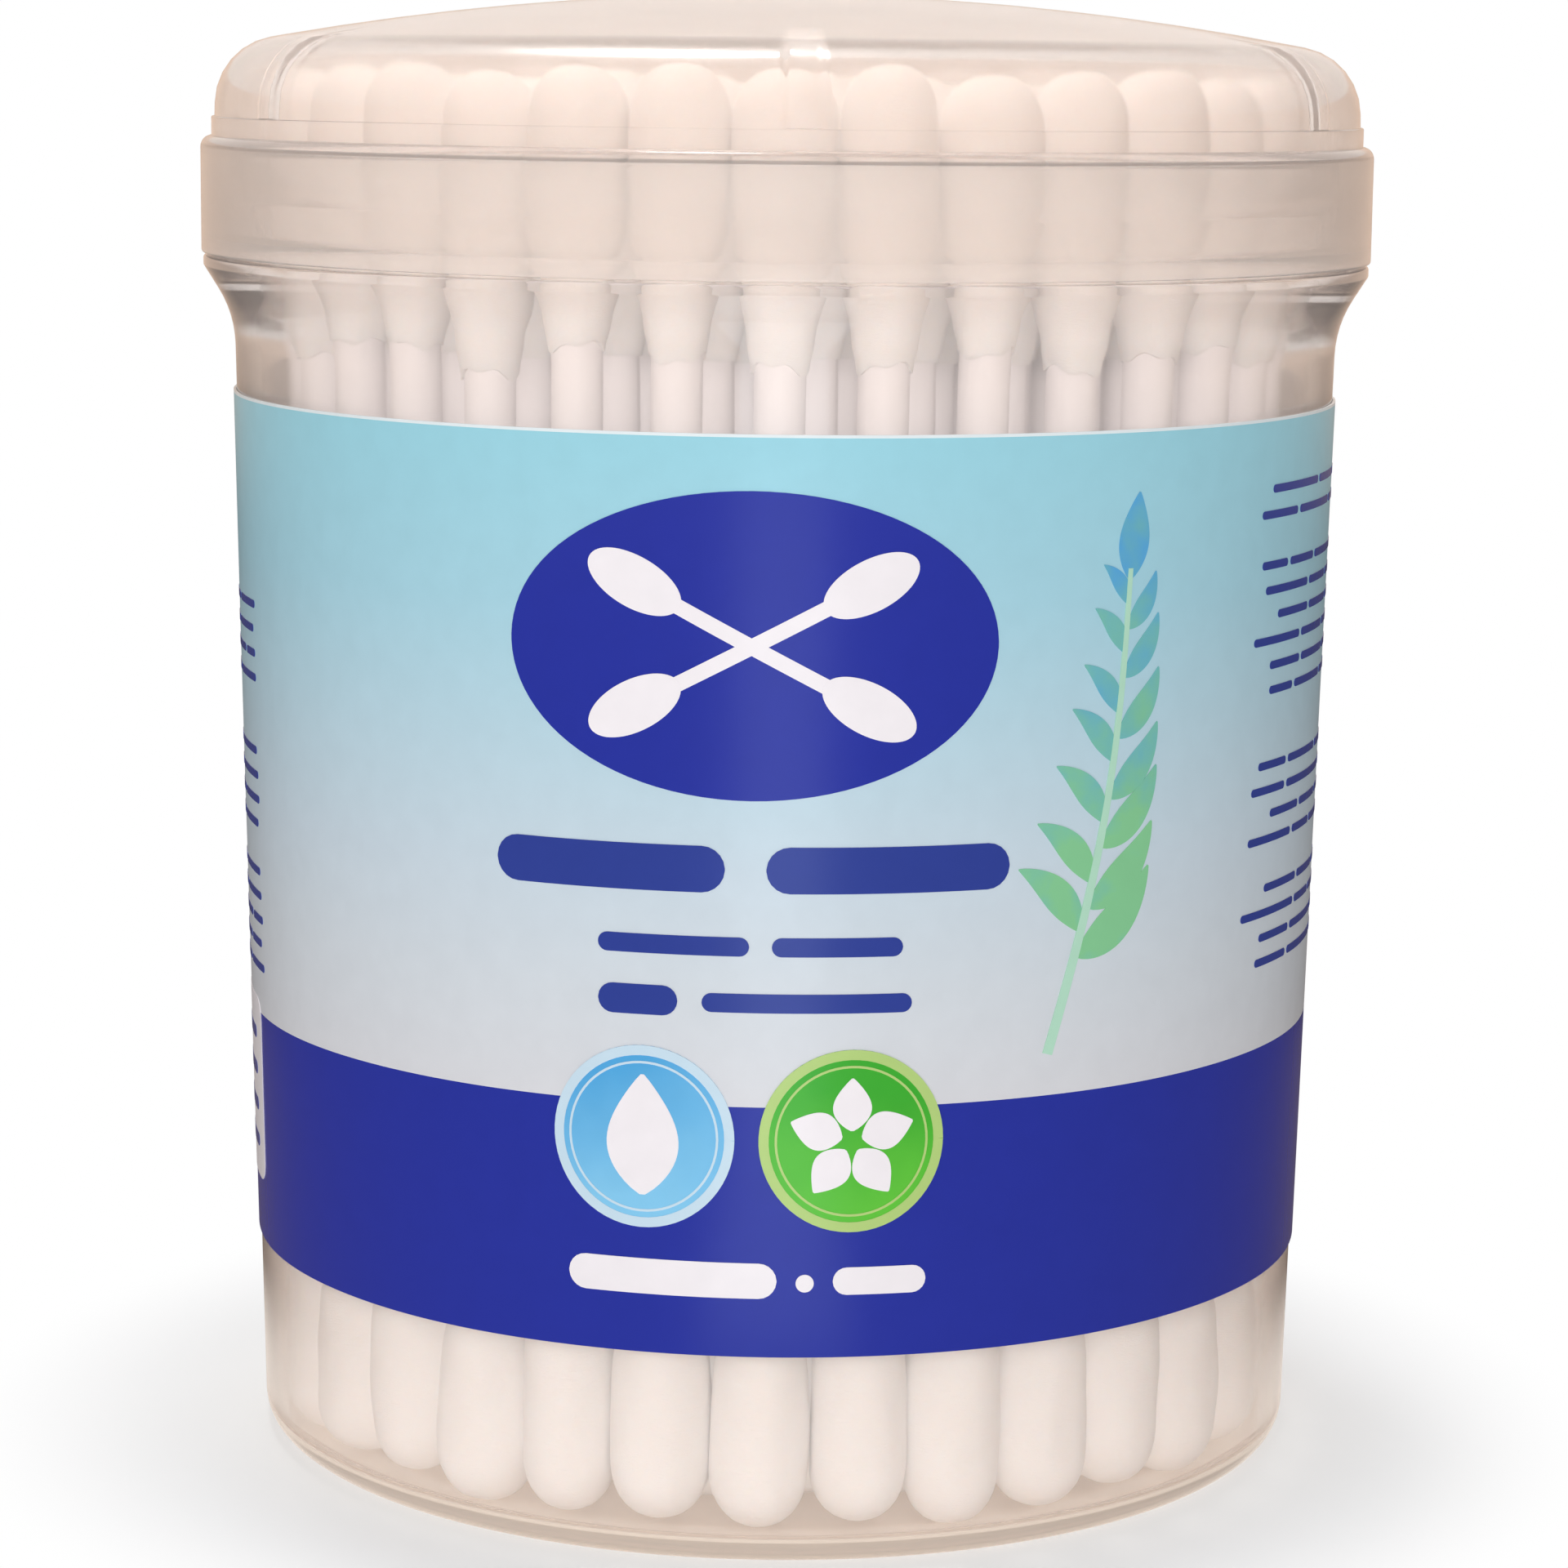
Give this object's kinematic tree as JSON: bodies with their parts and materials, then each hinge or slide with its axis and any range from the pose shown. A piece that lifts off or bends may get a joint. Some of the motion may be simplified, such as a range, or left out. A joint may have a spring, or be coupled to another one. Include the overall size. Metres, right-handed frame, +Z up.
{
  "type": "cotton swab tub",
  "caption": "Round clear plastic tub with a milky push-fit lid and a wrap-around label, packed with upright double-ended cotton swabs.",
  "frame": {"origin": "middle of the base, on the plane that the tub stands on", "axes": "+Z up along the tub's axis, from the base to the lid; -Y towards the front of the label"},
  "size_m": [0.0624, 0.0624, 0.0776],
  "materials": {
    "tub_plastic": "clear moulded polypropylene, glossy",
    "lid_plastic": "milky moulded polyethylene, satin skirt and glossy top",
    "label_film": "printed film, semi-gloss, pale blue fading to white over a navy foot band",
    "stick": "smooth white stick",
    "cotton": "wound cotton wool, matte and fibrous"
  },
  "bodies": {
    "tub": {"label": "label_film", "lower_buds_centre": "cotton", "lower_buds_ring_1": "cotton", "lower_buds_ring_2": "cotton", "lower_buds_ring_3": "cotton", "lower_buds_ring_4": "cotton", "lower_buds_ring_5": "cotton", "sticks_centre": "stick", "sticks_ring_1": "stick", "sticks_ring_2": "stick", "sticks_ring_3": "stick", "sticks_ring_4": "stick", "sticks_ring_5": "stick", "tub": "tub_plastic", "upper_buds_centre": "cotton", "upper_buds_ring_1": "cotton", "upper_buds_ring_2": "cotton", "upper_buds_ring_3": "cotton", "upper_buds_ring_4": "cotton", "upper_buds_ring_5": "cotton"},
    "lid": {"lid": "lid_plastic"}
  },
  "joints": [
    {"name": "lid_lift", "type": "slide", "parent": "tub", "child": "lid", "axis": [0, 0, 1], "range_m": [0, 0.02]}
  ]
}
